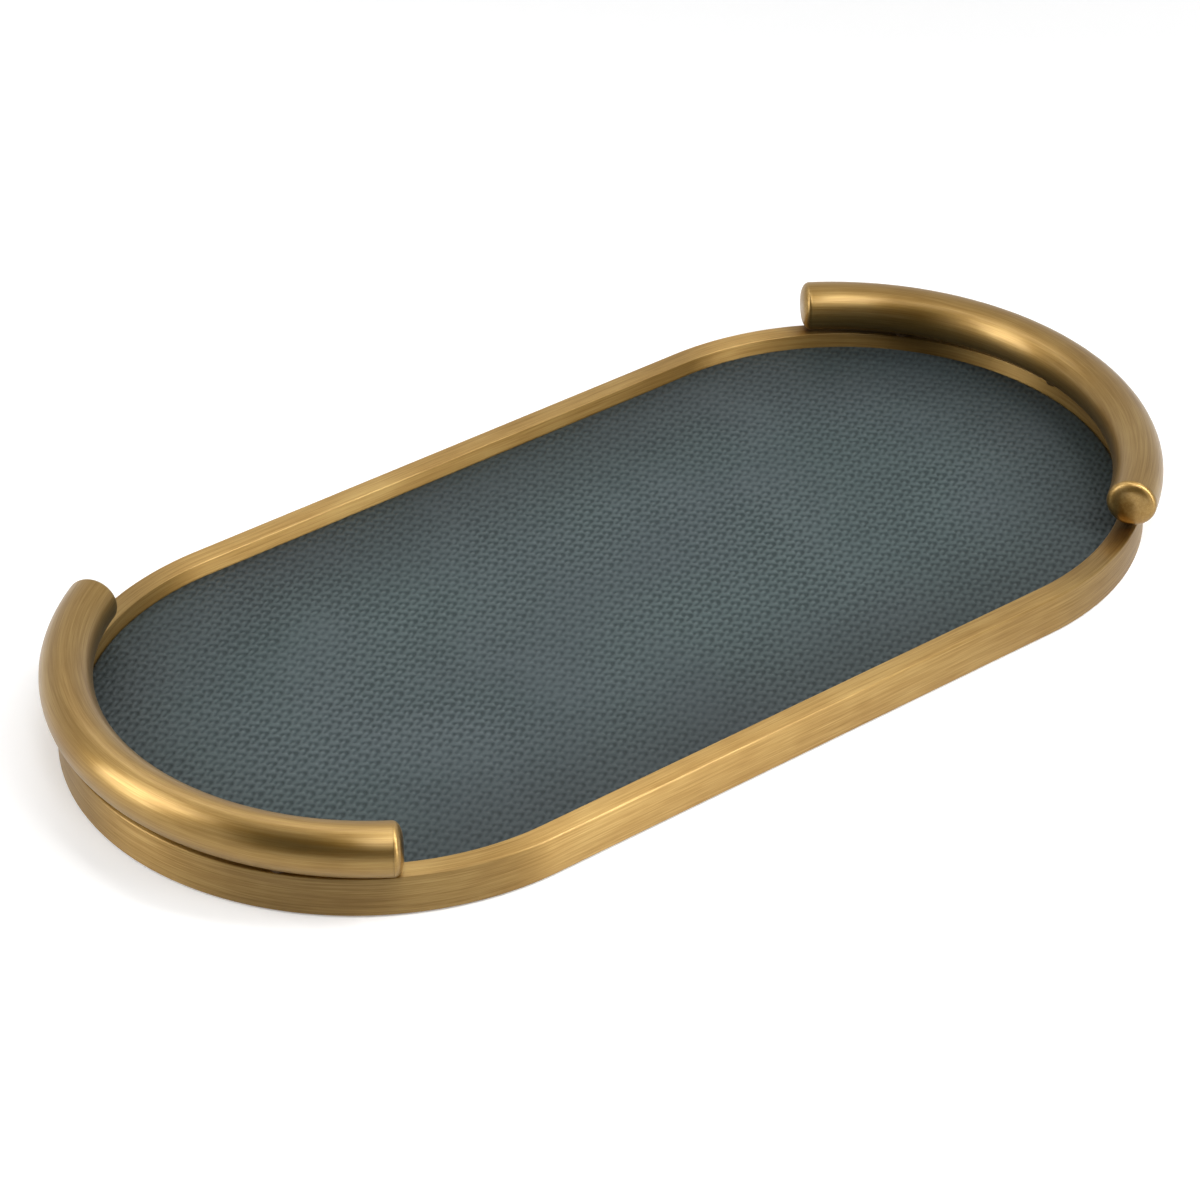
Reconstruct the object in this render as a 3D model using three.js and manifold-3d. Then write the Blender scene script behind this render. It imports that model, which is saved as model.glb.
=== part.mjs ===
// Leather tray with two bent tube handles.
//
// A pill-shaped metal rim has an inner ledge. A board, covered with embossed
// leather, lies on the ledge and is held by screws from below. A soft lining
// closes the underside and stands just proud of the rim, so the tray rests on
// it. Each handle is a capped tube that follows the round end of the rim and
// is screwed down onto three saddle spacers.
//
// Millimetres, +Z up. The origin is on the table, under the middle of the tray.
// +X runs along the tray and +Y across it.

import * as THREE from "three";
import { mergeVertices } from "three/addons/utils/BufferGeometryUtils.js";
import Module from "manifold-3d";

const wasm = await Module();
wasm.setup();

// Tray outline
const TRAY_WIDTH = 200;
const STRAIGHT_LENGTH = 208.6;

// Rim
const RIM_HEIGHT = 14.3;
const RIM_TOP_WIDTH = 7.4;
const RIM_EDGE_CHAMFER = 0.4;
const RIM_FOOT_WIDTH = 8.1;
const LEDGE_WIDTH = 10;
const LEDGE_THICKNESS = 2;

// Board, leather and lining
const BOARD_THICKNESS = 5;
const LEATHER_THICKNESS = 1.3;
const LEATHER_TURN_DOWN = 4;
const LINING_THICKNESS = 1.5;
const LINING_PROUD = 0.5;

// Handles
const TUBE_DIAMETER = 17.3;
const TUBE_WALL = 1.2;
const HANDLE_HALF_ANGLE = THREE.MathUtils.degToRad(56.2);
const HANDLE_APEX_INSET = 5;
const HANDLE_RADIUS_GAIN = 0.8;
const HANDLE_LIFT = 0.65;
const CAP_LENGTH = 3;
const CAP_EDGE_RADIUS = 2.4;
const CAP_DOME = 0.3;
const CAP_SPIGOT_LENGTH = 5;
const CAP_SPIGOT_BEVEL = 0.8;

// Handle fastenings
const STUD_END_DISTANCE = 35;
const SPACER_DIAMETER = 7;
const INSERT_DIAMETER = 6;
const INSERT_LENGTH = 6.5;
const SCREW_DIAMETER = 3;
const SCREW_HEAD_DIAMETER = 5;
const SCREW_HEAD_HEIGHT = 2;
const SCREW_HEAD_RECESS = 0.5;
const SCREW_SOCKET_WIDTH = 2.5;
const SCREW_SOCKET_DEPTH = 1.2;
const SCREW_TIP_SETBACK = 0.5;

// Board fastenings
const BOARD_SCREW_DIAMETER = 3;
const BOARD_SCREW_HEAD_DIAMETER = 5.6;
const BOARD_SCREW_HEAD_HEIGHT = 1.5;
const BOARD_SCREW_LENGTH = 5.5;
const BOARD_SCREW_SINK = 0.2;
const BOARD_SCREW_POINT = 1.2;
const BOARD_SCREW_SOCKET_WIDTH = 1.8;
const BOARD_SCREW_SOCKET_DEPTH = 0.9;
const BOARD_SCREW_SPACING = 130;
const BOARD_SCREW_END_ANGLE = THREE.MathUtils.degToRad(30);

// Clearances between fitted pieces
const FIT_GAP = 0.3;
const SPIGOT_GAP = 0.4;

// Facets
const OUTLINE_SEGMENTS = 16;
const TUBE_SIDES = 20;
const HANDLE_STEPS = 20;
const SCREW_SIDES = 12;
const SPACER_SIDES = 16;
const CAP_EDGE_STEPS = 3;
const CUT_ALLOWANCE = 1;

// Heights worked out from the stack, from the table upwards
const rimBottom = LINING_PROUD;
const rimTop = rimBottom + RIM_HEIGHT;
const ledgeBottom = LINING_THICKNESS;
const ledgeTop = ledgeBottom + LEDGE_THICKNESS;
const boardTop = ledgeTop + BOARD_THICKNESS;
const leatherTop = boardTop + LEATHER_THICKNESS;
const tubeRadius = TUBE_DIAMETER / 2;
const tubeInnerRadius = tubeRadius - TUBE_WALL;
const tubeCentreHeight = rimTop + HANDLE_LIFT + tubeRadius;

// Distances inwards from the outer edge of the rim
const leatherInset = RIM_TOP_WIDTH + FIT_GAP;
const boardInset = leatherInset + LEATHER_THICKNESS + FIT_GAP;
const ledgeInset = RIM_TOP_WIDTH + LEDGE_WIDTH;
const boardStepInset = ledgeInset + FIT_GAP;
const liningInset = RIM_FOOT_WIDTH + FIT_GAP;
const boardScrewInset = (boardInset + ledgeInset) / 2;

// Plan positions
const endRadius = TRAY_WIDTH / 2;
const endCentreX = STRAIGHT_LENGTH / 2;
const handleRadius = endRadius + HANDLE_RADIUS_GAIN;
const handleCentreX = endCentreX + endRadius - HANDLE_APEX_INSET - handleRadius;
const studAngle = HANDLE_HALF_ANGLE - STUD_END_DISTANCE / handleRadius;
const studAngles = [-studAngle, 0, studAngle];

const materials = {
  brass: new THREE.MeshStandardMaterial({ color: 0xa9884f, roughness: 0.32, metalness: 1 }),
  leather: new THREE.MeshStandardMaterial({ color: 0x515c5d, roughness: 0.7, metalness: 0 }),
  board: new THREE.MeshStandardMaterial({ color: 0x9c7c58, roughness: 0.85, metalness: 0 }),
  lining: new THREE.MeshStandardMaterial({ color: 0x26282a, roughness: 0.95, metalness: 0 }),
  steel: new THREE.MeshStandardMaterial({ color: 0x8d9093, roughness: 0.4, metalness: 1 }),
};

// Solids and meshes

function toSolid(geometry) {
  const bare = geometry.clone();
  bare.deleteAttribute("normal");
  bare.deleteAttribute("uv");
  const merged = mergeVertices(bare, 1e-4);
  return new wasm.Manifold(new wasm.Mesh({
    numProp: 3,
    vertProperties: new Float32Array(merged.attributes.position.array),
    triVerts: new Uint32Array(merged.index.array),
  }));
}

function toGeometry(solid) {
  const mesh = solid.getMesh();
  const geometry = new THREE.BufferGeometry();
  geometry.setAttribute("position", new THREE.BufferAttribute(mesh.vertProperties, 3));
  geometry.setIndex(new THREE.BufferAttribute(mesh.triVerts, 1));
  geometry.computeVertexNormals();
  return geometry;
}

function namedMesh(name, solid, material) {
  const mesh = new THREE.Mesh(toGeometry(solid), material);
  mesh.name = name;
  return mesh;
}

// Outlines of the tray: a straight run with a half circle at each end

function tracePill(path, inset) {
  const radius = endRadius - inset;
  path.absarc(endCentreX, 0, radius, -Math.PI / 2, Math.PI / 2, false);
  path.absarc(-endCentreX, 0, radius, Math.PI / 2, 3 * Math.PI / 2, false);
  path.closePath();
  return path;
}

function pillShape(inset, holeInset) {
  const shape = tracePill(new THREE.Shape(), inset);
  if (holeInset !== undefined) {
    shape.holes.push(tracePill(new THREE.Path(), holeInset));
  }
  return shape;
}

function extrudeFlat(shape, bottom, top) {
  const geometry = new THREE.ExtrudeGeometry(shape, {
    depth: top - bottom,
    bevelEnabled: false,
    curveSegments: OUTLINE_SEGMENTS,
  });
  return toSolid(geometry.translate(0, 0, bottom));
}

function extrudeChamfered(shape, bottom, top, chamfer) {
  const geometry = new THREE.ExtrudeGeometry(shape, {
    depth: top - bottom - 2 * chamfer,
    bevelEnabled: true,
    bevelThickness: chamfer,
    bevelSize: chamfer,
    bevelOffset: -chamfer,
    bevelSegments: 1,
    curveSegments: OUTLINE_SEGMENTS,
  });
  return toSolid(geometry.translate(0, 0, bottom + chamfer));
}

// Turned solids stand on the Z axis; a profile lists radius and height

function turned(profile, sides) {
  const points = profile.map(([radius, height]) => new THREE.Vector2(radius, height));
  return toSolid(new THREE.LatheGeometry(points, sides).rotateX(Math.PI / 2));
}

function cylinder(radius, bottom, top, sides = SCREW_SIDES) {
  return turned([[0, bottom], [radius, bottom], [radius, top], [0, top]], sides);
}

// Places along the rim and along a handle's bend, for the end at +X

function onRimEnd(angle, inset) {
  const radius = endRadius - inset;
  return [endCentreX + radius * Math.cos(angle), radius * Math.sin(angle)];
}

function onHandle(angle) {
  return [handleCentreX + handleRadius * Math.cos(angle), handleRadius * Math.sin(angle)];
}

function boardScrewPlaces() {
  const side = endRadius - boardScrewInset;
  const half = BOARD_SCREW_SPACING / 2;
  const ends = [-BOARD_SCREW_END_ANGLE, BOARD_SCREW_END_ANGLE].map(
    (angle) => onRimEnd(angle, boardScrewInset));
  const oneEnd = [[half, -side], ...ends, [half, side]];
  return [...oneEnd, ...oneEnd.map(([x, y]) => [-x, -y])];
}

function handleScrewPlaces() {
  const oneEnd = studAngles.map(onHandle);
  return [...oneEnd, ...oneEnd.map(([x, y]) => [-x, -y])];
}

// Rim

function handleScrewHole() {
  const bore = cylinder(SCREW_DIAMETER / 2 + FIT_GAP, rimBottom - CUT_ALLOWANCE, rimTop + CUT_ALLOWANCE);
  const seat = rimBottom + SCREW_HEAD_RECESS + SCREW_HEAD_HEIGHT;
  const counterbore = cylinder(SCREW_HEAD_DIAMETER / 2 + FIT_GAP, rimBottom - CUT_ALLOWANCE, seat);
  return bore.add(counterbore);
}

function boardScrewHole() {
  const radius = BOARD_SCREW_DIAMETER / 2 + FIT_GAP;
  const headRadius = BOARD_SCREW_HEAD_DIAMETER / 2 + FIT_GAP;
  const face = ledgeBottom + BOARD_SCREW_SINK;
  return turned([
    [0, ledgeBottom - CUT_ALLOWANCE],
    [headRadius, ledgeBottom - CUT_ALLOWANCE],
    [headRadius, face],
    [radius, face + BOARD_SCREW_HEAD_HEIGHT],
    [radius, ledgeTop + CUT_ALLOWANCE],
    [0, ledgeTop + CUT_ALLOWANCE],
  ], SCREW_SIDES);
}

function rimSolid() {
  const wall = extrudeChamfered(pillShape(0, RIM_TOP_WIDTH), rimBottom, rimTop, RIM_EDGE_CHAMFER);
  const overlap = RIM_TOP_WIDTH / 2;
  const ledge = extrudeFlat(pillShape(overlap, ledgeInset), ledgeBottom, ledgeTop);
  const foot = extrudeFlat(pillShape(overlap, RIM_FOOT_WIDTH), rimBottom, ledgeTop);
  let rim = wall.add(ledge).add(foot);
  for (const [x, y] of handleScrewPlaces()) {
    rim = rim.subtract(handleScrewHole().translate([x, y, 0]));
  }
  for (const [x, y] of boardScrewPlaces()) {
    rim = rim.subtract(boardScrewHole().translate([x, y, 0]));
  }
  return rim;
}

// Board: the step under it fills the opening inside the ledge

function boardSolid() {
  const panel = extrudeFlat(pillShape(boardInset), ledgeTop, boardTop);
  const step = extrudeFlat(pillShape(boardStepInset), ledgeBottom, boardTop - BOARD_THICKNESS / 2);
  const tip = ledgeBottom + BOARD_SCREW_SINK + BOARD_SCREW_LENGTH;
  const pilot = cylinder(BOARD_SCREW_DIAMETER / 2 + FIT_GAP, ledgeBottom - CUT_ALLOWANCE, tip + FIT_GAP);
  let board = panel.add(step);
  for (const [x, y] of boardScrewPlaces()) {
    board = board.subtract(pilot.translate([x, y, 0]));
  }
  return board;
}

// Leather: a sheet over the board, turned down round its edge

function leatherSolid() {
  const sheet = extrudeFlat(pillShape(leatherInset), boardTop - LEATHER_TURN_DOWN, leatherTop);
  const inside = extrudeFlat(
    pillShape(leatherInset + LEATHER_THICKNESS), boardTop - LEATHER_TURN_DOWN - CUT_ALLOWANCE, boardTop);
  return sheet.subtract(inside);
}

function liningSolid() {
  return extrudeFlat(pillShape(liningInset), 0, LINING_THICKNESS);
}

// Countersunk board screw, head down

function boardScrewSolid() {
  const radius = BOARD_SCREW_DIAMETER / 2;
  const face = ledgeBottom + BOARD_SCREW_SINK;
  const tip = face + BOARD_SCREW_LENGTH;
  const body = turned([
    [0, face],
    [BOARD_SCREW_HEAD_DIAMETER / 2, face],
    [radius, face + BOARD_SCREW_HEAD_HEIGHT],
    [radius, tip - BOARD_SCREW_POINT],
    [0, tip],
  ], SCREW_SIDES);
  const socketRadius = BOARD_SCREW_SOCKET_WIDTH / Math.SQRT2;
  const socket = cylinder(socketRadius, face - CUT_ALLOWANCE, face + BOARD_SCREW_SOCKET_DEPTH, 4);
  return body.subtract(socket);
}

// Handle tube

class HandleBend extends THREE.Curve {
  getPoint(t, target = new THREE.Vector3()) {
    const angle = THREE.MathUtils.lerp(-HANDLE_HALF_ANGLE, HANDLE_HALF_ANGLE, t);
    const [x, y] = onHandle(angle);
    return target.set(x, y, tubeCentreHeight);
  }
}

function circleShape(radius) {
  return new THREE.Shape().absarc(0, 0, radius, 0, 2 * Math.PI, false);
}

function bentRod(shape) {
  return toSolid(new THREE.ExtrudeGeometry(shape, {
    steps: HANDLE_STEPS,
    curveSegments: TUBE_SIDES / 2,
    bevelEnabled: false,
    extrudePath: new HandleBend(),
  }));
}

function tubeSolid() {
  const section = circleShape(tubeRadius);
  section.holes.push(circleShape(tubeInnerRadius));
  const hole = cylinder(
    INSERT_DIAMETER / 2 + FIT_GAP, rimTop - CUT_ALLOWANCE, tubeCentreHeight, SPACER_SIDES);
  let tube = bentRod(section);
  for (const [x, y] of studAngles.map(onHandle)) {
    tube = tube.subtract(hole.translate([x, y, 0]));
  }
  return tube;
}

// End cap: a rounded, slightly domed face with a spigot inside the tube

function capSolid() {
  const spigotRadius = tubeInnerRadius - SPIGOT_GAP;
  const edgeCentre = FIT_GAP + CAP_LENGTH - CAP_DOME - CAP_EDGE_RADIUS;
  const profile = [
    [0, -CAP_SPIGOT_LENGTH],
    [spigotRadius - CAP_SPIGOT_BEVEL, -CAP_SPIGOT_LENGTH],
    [spigotRadius, -CAP_SPIGOT_LENGTH + CAP_SPIGOT_BEVEL],
    [spigotRadius, FIT_GAP],
    [tubeRadius, FIT_GAP],
  ];
  for (let i = 0; i <= CAP_EDGE_STEPS; i += 1) {
    const angle = i / CAP_EDGE_STEPS * Math.PI / 2;
    profile.push([
      tubeRadius - CAP_EDGE_RADIUS + CAP_EDGE_RADIUS * Math.cos(angle),
      edgeCentre + CAP_EDGE_RADIUS * Math.sin(angle),
    ]);
  }
  profile.push([0, FIT_GAP + CAP_LENGTH]);
  return turned(profile, TUBE_SIDES);
}

// Handle fastenings

function spacerSolid(angle) {
  const [x, y] = onHandle(angle);
  const pillar = cylinder(SPACER_DIAMETER / 2, rimTop, tubeCentreHeight, SPACER_SIDES);
  const bore = cylinder(SCREW_DIAMETER / 2 + FIT_GAP, rimTop - CUT_ALLOWANCE, tubeCentreHeight);
  const saddle = bentRod(circleShape(tubeRadius + FIT_GAP));
  return pillar.subtract(bore).translate([x, y, 0]).subtract(saddle);
}

const insertEdge = INSERT_DIAMETER / 2 + FIT_GAP;
const insertBottom = tubeCentreHeight - Math.sqrt(tubeRadius ** 2 - insertEdge ** 2);
const insertTop = insertBottom + INSERT_LENGTH;

function insertSolid() {
  const boss = cylinder(INSERT_DIAMETER / 2, insertBottom, insertTop);
  const bore = cylinder(
    SCREW_DIAMETER / 2 + FIT_GAP, insertBottom - CUT_ALLOWANCE, insertTop + CUT_ALLOWANCE);
  return boss.subtract(bore);
}

function handleScrewSolid() {
  const face = rimBottom + SCREW_HEAD_RECESS;
  const seat = face + SCREW_HEAD_HEIGHT - FIT_GAP;
  const tip = insertTop - SCREW_TIP_SETBACK;
  const body = turned([
    [0, face],
    [SCREW_HEAD_DIAMETER / 2, face],
    [SCREW_HEAD_DIAMETER / 2, seat],
    [SCREW_DIAMETER / 2, seat],
    [SCREW_DIAMETER / 2, tip],
    [0, tip],
  ], SCREW_SIDES);
  const socketRadius = SCREW_SOCKET_WIDTH / Math.sqrt(3);
  const socket = cylinder(socketRadius, face - CUT_ALLOWANCE, face + SCREW_SOCKET_DEPTH, 6);
  return body.subtract(socket);
}

// Assembly

function handleGroup(name) {
  const group = new THREE.Group();
  group.add(namedMesh(name, tubeSolid(), materials.brass));
  for (const [end, angle, turn] of [
    ["clockwise", -HANDLE_HALF_ANGLE, Math.PI],
    ["anticlockwise", HANDLE_HALF_ANGLE, 0],
  ]) {
    const cap = namedMesh(`${name}_cap_${end}`, capSolid(), materials.brass);
    const [x, y] = onHandle(angle);
    cap.position.set(x, y, tubeCentreHeight);
    cap.rotation.set(-Math.PI / 2, 0, angle + turn, "ZYX");
    group.add(cap);
  }
  studAngles.forEach((angle, index) => {
    const [x, y] = onHandle(angle);
    group.add(namedMesh(`${name}_spacer_${index + 1}`, spacerSolid(angle), materials.brass));
    const insert = namedMesh(`${name}_insert_${index + 1}`, insertSolid(), materials.steel);
    insert.position.set(x, y, 0);
    group.add(insert);
    const screw = namedMesh(`${name}_screw_${index + 1}`, handleScrewSolid(), materials.steel);
    screw.position.set(x, y, 0);
    group.add(screw);
  });
  return group;
}

const tray = new THREE.Group();
tray.add(namedMesh("rim_frame", rimSolid(), materials.brass));
tray.add(namedMesh("deck_board", boardSolid(), materials.board));
tray.add(namedMesh("deck_leather", leatherSolid(), materials.leather));
tray.add(namedMesh("underside_lining", liningSolid(), materials.lining));
boardScrewPlaces().forEach(([x, y], index) => {
  const screw = namedMesh(`board_screw_${index + 1}`, boardScrewSolid(), materials.steel);
  screw.position.set(x, y, 0);
  tray.add(screw);
});

const rightHandle = handleGroup("handle_right");
const leftHandle = handleGroup("handle_left");
leftHandle.rotation.z = Math.PI;
tray.add(rightHandle, leftHandle);

export default tray;
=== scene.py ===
from math import ceil, cos, exp, pi, radians, sin, sqrt, tan

import bmesh
import bpy
from mathutils import Matrix, Vector
from mathutils.geometry import delaunay_2d_cdt


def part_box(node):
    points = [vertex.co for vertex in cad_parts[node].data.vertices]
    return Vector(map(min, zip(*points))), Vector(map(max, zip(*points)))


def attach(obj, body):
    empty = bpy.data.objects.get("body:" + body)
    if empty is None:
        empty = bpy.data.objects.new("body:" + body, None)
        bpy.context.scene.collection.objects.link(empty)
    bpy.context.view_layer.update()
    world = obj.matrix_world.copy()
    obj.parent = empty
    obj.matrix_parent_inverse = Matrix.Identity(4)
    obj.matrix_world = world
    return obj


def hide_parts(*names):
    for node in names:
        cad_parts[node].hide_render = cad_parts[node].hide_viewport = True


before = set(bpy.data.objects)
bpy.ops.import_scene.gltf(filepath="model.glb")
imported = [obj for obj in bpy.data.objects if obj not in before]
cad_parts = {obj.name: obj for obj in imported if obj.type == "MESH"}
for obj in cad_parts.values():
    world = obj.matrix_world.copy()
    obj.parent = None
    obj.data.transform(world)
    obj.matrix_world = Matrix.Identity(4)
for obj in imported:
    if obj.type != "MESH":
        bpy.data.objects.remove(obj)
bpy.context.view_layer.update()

BODY = "root"
scene = bpy.context.scene
scene.view_settings.view_transform = "Standard"


# Camera. The tray was photographed with a long lens from its front left corner,
# about 34 degrees above the table.
CAMERA_TARGET = Vector((-0.0015, 0.0095, 0.0))
CAMERA_AZIMUTH = radians(-38.28)
CAMERA_ELEVATION = radians(34.38)
CAMERA_DISTANCE = 1.416
CAMERA_LENS = 125.8


def from_target(azimuth, elevation, distance):
    back = Vector((sin(azimuth) * cos(elevation), -cos(azimuth) * cos(elevation), sin(elevation)))
    return CAMERA_TARGET + back * distance


camera_data = bpy.data.cameras.new("camera")
camera_data.lens = CAMERA_LENS
camera_data.clip_start = 0.05
camera_data.clip_end = 50
camera = bpy.data.objects.new("camera", camera_data)
camera.location = from_target(CAMERA_AZIMUTH, CAMERA_ELEVATION, CAMERA_DISTANCE)
camera.rotation_euler = (CAMERA_TARGET - camera.location).to_track_quat("-Z", "Y").to_euler()
scene.collection.objects.link(camera)
scene.camera = camera


# Rim. A solid brass bar, bent to a pill outline and ground flat on its faces, with
# crisp eased edges and an inner ledge that carries the deck. It is brushed along its
# length and toned a satin bronze, and a little bare brass shines through the toning.
rim_low, rim_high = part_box("rim_frame")
END_RADIUS = rim_high.y
HALF_RUN = rim_high.x - rim_high.y
RIM_BOTTOM = rim_low.z
RIM_TOP = rim_high.z
RIM_WALL = 0.0074
RIM_EDGE = 0.0005
RIM_INNER_EDGE = 0.0003
RIM_FOOT_WALL = 0.0081
LEDGE_REACH = 0.0174
LEDGE_THICKNESS = 0.002
LEDGE_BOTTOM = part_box("deck_board")[0].z
LEDGE_TOP = LEDGE_BOTTOM + LEDGE_THICKNESS
LEDGE_EDGE = 0.0002
PATH_POINTS = 322
EDGE_STEPS = 4
EDGE_ANGLE = 30

BRASS = (0.203, 0.098, 0.003, 1)
BRASS_WORN = (0.285, 0.160, 0.014, 1)
BRASS_DULL = (0.146, 0.064, 0.001, 1)
BARE_BRASS = (0.86, 0.74, 0.46, 1)
STREAK_LENGTH = 0.014
STREAK_DETAIL = 3.0
BROAD_STREAK_LENGTH = 0.035
BROAD_STREAK_WIDTH = 0.0009
FINE_SHARE = 0.40
BROAD_SHARE = 0.35
CLOUD_SHARE = 0.25
MIDDLE_TONE = 0.5
POLISH_SWING = 0.05
QUARTER_TURN = 0.25


def rounded(corners, steps):
    """Points of a closed outline whose corners, given as x, y and radius, are eased."""
    points = []
    count = len(corners)
    for i, (x, y, radius) in enumerate(corners):
        here = Vector((x, y))
        before = (Vector(corners[i - 1][:2]) - here).normalized()
        after = (Vector(corners[(i + 1) % count][:2]) - here).normalized()
        if not radius:
            points.append(here)
            continue
        half = before.angle(after) / 2
        start = here + before * (radius / tan(half))
        centre = here + (before + after).normalized() * (radius / sin(half))
        turn = (start - centre).angle_signed(here + after * (radius / tan(half)) - centre)
        for k in range(steps + 1):
            arm = start - centre
            arm.rotate(Matrix.Rotation(-turn * k / steps, 2))
            points.append(centre + arm)
    return points


def new_mesh_object(name, vertices, faces, edges=()):
    mesh = bpy.data.meshes.new(name)
    mesh.from_pydata([tuple(v) for v in vertices], list(edges), [tuple(f) for f in faces])
    mesh.update()
    made = bpy.data.objects.new(name, mesh)
    scene.collection.objects.link(made)
    return made


def finished(source, name, modifiers):
    """A plain mesh piece with the modifiers worked in, and the source removed."""
    bpy.context.view_layer.update()
    evaluated = source.evaluated_get(bpy.context.evaluated_depsgraph_get())
    mesh = bpy.data.meshes.new_from_object(evaluated)
    mesh.name = name
    for modifier in modifiers:
        source.modifiers.remove(modifier)
    bpy.data.objects.remove(source)
    piece = bpy.data.objects.new(name, mesh)
    scene.collection.objects.link(piece)
    return piece


def smooth(piece, angle):
    piece.data.polygons.foreach_set("use_smooth", [True] * len(piece.data.polygons))
    piece.data.set_sharp_from_angle(angle=radians(angle))


def dress(piece, material, slot, *nodes):
    piece.data.materials.clear()
    piece.data.materials.append(material)
    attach(piece, BODY)
    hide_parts(*nodes)


def node_maker(tree):
    """A function that adds a node to the tree and sets or links its inputs."""
    def node(kind, inputs=(), **settings):
        made = tree.nodes.new(kind)
        for key, value in settings.items():
            setattr(made, key, value)
        for key, value in dict(inputs).items():
            if isinstance(value, bpy.types.NodeSocket):
                tree.links.new(value, made.inputs[key])
            else:
                made.inputs[key].default_value = value
        return made

    return node


def add_tree(piece, name, build, sizes, material):
    """Runs a geometry node tree on the piece; sizes are the named inputs and their values."""
    tree = bpy.data.node_groups.new(name, "GeometryNodeTree")
    tree.interface.new_socket(name="Geometry", in_out="INPUT", socket_type="NodeSocketGeometry")
    sockets = {}
    for label, value in sizes.items():
        kind = "NodeSocketInt" if isinstance(value, int) else "NodeSocketFloat"
        sockets[label] = tree.interface.new_socket(name=label, in_out="INPUT", socket_type=kind)
        sockets[label].default_value = value
    tree.interface.new_socket(name="Geometry", in_out="OUTPUT", socket_type="NodeSocketGeometry")
    start = tree.nodes.new("NodeGroupInput")
    end = tree.nodes.new("NodeGroupOutput")
    node = node_maker(tree)
    shape = build(node, start.outputs)
    realised = node("GeometryNodeRealizeInstances", {"Geometry": shape})
    painted = node("GeometryNodeSetMaterial", {"Geometry": realised.outputs[0]})
    painted.inputs["Material"].default_value = material
    tree.links.new(painted.outputs[0], end.inputs[0])
    modifier = piece.modifiers.new(name, "NODES")
    modifier.node_group = tree
    for label, value in sizes.items():
        modifier[sockets[label].identifier] = value
    return modifier


def new_material(name, preview):
    material = bpy.data.materials.new(name)
    material.use_nodes = True
    material.diffuse_color = preview
    tree = material.node_tree
    return material, tree, tree.nodes["Principled BSDF"], node_maker(tree)


def ramp(node, factor, stops):
    made = node("ShaderNodeValToRGB", {"Fac": factor})
    elements = made.color_ramp.elements
    while len(elements) < len(stops):
        elements.new(0.5)
    for element, (place, colour) in zip(elements, stops):
        element.position = place
        element.color = colour
    return made.outputs["Color"]


def calculate(node, operation, *values):
    return node("ShaderNodeMath", dict(enumerate(values)), operation=operation).outputs[0]


def blend(node, first, second, *others):
    """The sum of some values, each given with its share."""
    total = calculate(node, "MULTIPLY", *second)
    for value, share in others:
        total = calculate(node, "ADD", total, calculate(node, "MULTIPLY", value, share))
    return calculate(node, "ADD", calculate(node, "MULTIPLY", *first), total)


def from_spine(node, x, y, half_run):
    """How far a place is past the end of the straight run, and how far from its middle line."""
    beyond = calculate(node, "SUBTRACT", calculate(node, "ABSOLUTE", x), half_run)
    beyond = calculate(node, "MAXIMUM", beyond, 0.0)
    squares = calculate(node, "ADD", calculate(node, "MULTIPLY", beyond, beyond),
                        calculate(node, "MULTIPLY", y, y))
    return beyond, calculate(node, "SQRT", squares)


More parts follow.
